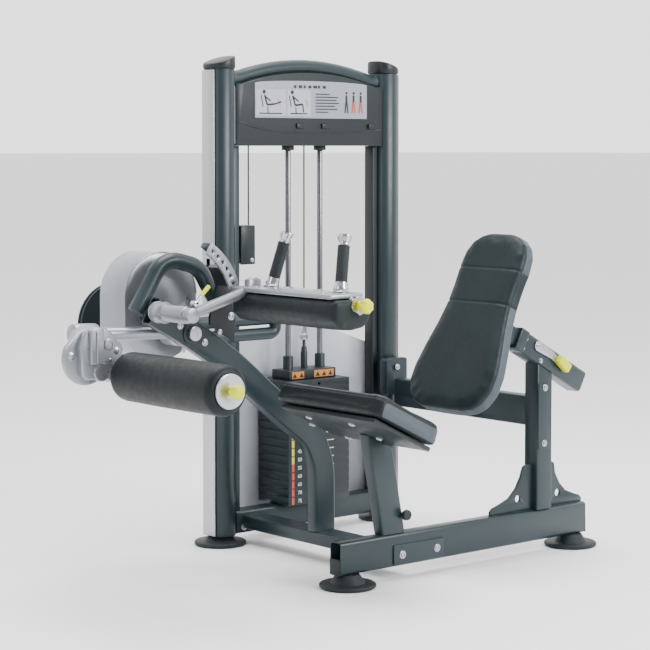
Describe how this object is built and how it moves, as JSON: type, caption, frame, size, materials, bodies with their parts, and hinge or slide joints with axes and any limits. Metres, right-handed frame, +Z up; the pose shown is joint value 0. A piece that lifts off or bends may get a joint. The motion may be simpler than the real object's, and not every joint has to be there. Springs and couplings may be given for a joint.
{
  "type": "seated leg machine with weight stack",
  "caption": "Selectorised seated leg machine: swinging roller lever, thigh hold-down pad with two grips, sliding back pad and a cable-driven weight tower.",
  "frame": {"origin": "middle of the machine on the floor, under the centre of its overall box", "axes": "+X from the roller toward the back rest, +Y from the seat toward the weight tower, +Z up"},
  "size_m": [1.702, 1.0634, 1.4961],
  "materials": {
    "frame_paint": "satin graphite powder coat",
    "silver_paint": "satin silver-grey powder coat",
    "aluminium": "brushed satin",
    "chrome": "polished",
    "black_vinyl": "matt vinyl upholstery over foam",
    "yellow_plastic": "semi-gloss moulded plastic",
    "black_rubber": "matt moulded rubber",
    "black_steel": "satin black paint",
    "shroud_grey": "semi-gloss sheet",
    "placard_grey": "printed sheet",
    "steel_cable": "nylon-coated wire rope"
  },
  "bodies": {
    "frame": {"adjuster_tube": "frame_paint", "cable_run": "steel_cable", "cam_cover": "silver_paint", "cross_beam": "frame_paint", "cross_tube": "frame_paint", "foot_seat_front": "black_rubber", "foot_seat_rear": "black_rubber", "foot_tower_left": "black_rubber", "foot_tower_right": "black_rubber", "guard_loop": "frame_paint", "guide_rod_left": "chrome", "guide_rod_right": "chrome", "head_arch": "frame_paint", "head_panel": "frame_paint", "inner_rail_left": "frame_paint", "inner_rail_right": "frame_paint", "main_arm": "frame_paint", "placard": "placard_grey", "pulley_box": "black_steel", "quadrant_face": "silver_paint", "quadrant_wall": "frame_paint", "rear_post": "frame_paint", "rear_shroud": "shroud_grey", "rest_stack": "black_steel", "seat_beam": "frame_paint", "seat_cushion": "black_vinyl", "seat_pan": "frame_paint", "seat_post": "frame_paint", "stop_bar": "frame_paint", "tower_base_beam": "frame_paint", "upright_cap_left": "black_steel", "upright_cap_right": "black_steel", "upright_left": "frame_paint", "upright_right": "frame_paint", "upright_strip_left": "aluminium", "upright_strip_right": "aluminium"},
    "lever": {"lever_arm": "silver_paint", "cam_wheel": "black_steel"},
    "roller_carrier": {"roller_bracket": "silver_paint", "roller_axle": "aluminium"},
    "roller": {"roller_foam": "black_vinyl"},
    "roller_pull_knob": {"roller_knob": "yellow_plastic"},
    "stack": {"top_plate": "black_steel", "weight_plate_1": "black_steel", "weight_plate_2": "black_steel", "weight_plate_3": "black_steel", "cable_stack": "steel_cable"},
    "pin": {"selector_pin": "black_steel"},
    "pulley_over_stack": {"head_pulley_stack": "black_steel"},
    "pulley_over_side": {"head_pulley_side": "black_steel"},
    "thigh_unit": {"thigh_arm": "silver_paint", "thigh_plate": "silver_paint", "thigh_pad": "black_vinyl", "thigh_grip_far": "black_rubber", "thigh_grip_near": "black_rubber"},
    "thigh_pull_knob": {"thigh_knob": "yellow_plastic"},
    "thigh_lock_lever": {"thigh_release": "yellow_plastic"},
    "back_unit": {"back_carriage": "black_steel", "back_pad": "black_vinyl"},
    "back_lock_lever": {"back_release": "yellow_plastic"}
  },
  "joints": [
    {"name": "lever_swing", "type": "hinge", "parent": "frame", "child": "lever", "pos_m": [-0.421, 0.44, 0.7], "axis": [0, -1, 0], "range_deg": [0, 90]},
    {"name": "roller_reach", "type": "slide", "parent": "lever", "child": "roller_carrier", "axis": [-0.9993, 0, 0.037], "range_m": [0, 0.035]},
    {"name": "roller_spin", "type": "hinge", "parent": "roller_carrier", "child": "roller", "pos_m": [-0.684, -0.2275, 0.607], "axis": [0, 1, 0], "continuous": true},
    {"name": "roller_knob_pull", "type": "slide", "parent": "roller_carrier", "child": "roller_pull_knob", "axis": [0, -1, 0], "range_m": [0, 0.012], "stiffness_N_per_m": 400},
    {"name": "stack_lift", "type": "slide", "parent": "frame", "child": "stack", "axis": [0, 0, 1], "range_m": [0, 0.19], "deforming": ["cable_stack"]},
    {"name": "selector_pin_pull", "type": "slide", "parent": "stack", "child": "pin", "axis": [0, -1, 0], "range_m": [0, 0.08]},
    {"name": "stack_pulley_turn", "type": "hinge", "parent": "frame", "child": "pulley_over_stack", "pos_m": [0.2535, 0.44, 1.3], "axis": [0, -1, 0], "range_deg": [0, 240]},
    {"name": "side_pulley_turn", "type": "hinge", "parent": "frame", "child": "pulley_over_side", "pos_m": [0.121, 0.44, 1.3], "axis": [0, -1, 0], "range_deg": [0, 240]},
    {"name": "thigh_swing", "type": "hinge", "parent": "frame", "child": "thigh_unit", "pos_m": [-0.543, 0.059, 0.767], "axis": [0, -1, 0], "range_deg": [-10, 35]},
    {"name": "thigh_knob_pull", "type": "slide", "parent": "thigh_unit", "child": "thigh_pull_knob", "axis": [0, -1, 0], "range_m": [0, 0.01], "stiffness_N_per_m": 400},
    {"name": "thigh_lock_squeeze", "type": "hinge", "parent": "thigh_unit", "child": "thigh_lock_lever", "pos_m": [-0.528, -0.096, 0.7985], "axis": [0, -1, 0], "range_deg": [0, 18], "stiffness_Nm_per_rad": 1},
    {"name": "back_slide", "type": "slide", "parent": "frame", "child": "back_unit", "axis": [0.8788, 0, -0.4772], "range_m": [-0.08, 0.04]},
    {"name": "back_lock_squeeze", "type": "hinge", "parent": "frame", "child": "back_lock_lever", "pos_m": [0.5918, -0.307, 0.6264], "axis": [0, -1, 0], "range_deg": [0, 16], "stiffness_Nm_per_rad": 3}
  ],
  "couplings": [
    {"joint": "stack_lift", "follows": "lever_swing", "m_per_rad": 0.118},
    {"joint": "stack_pulley_turn", "follows": "lever_swing", "ratio": 2.622},
    {"joint": "side_pulley_turn", "follows": "lever_swing", "ratio": 2.622}
  ]
}
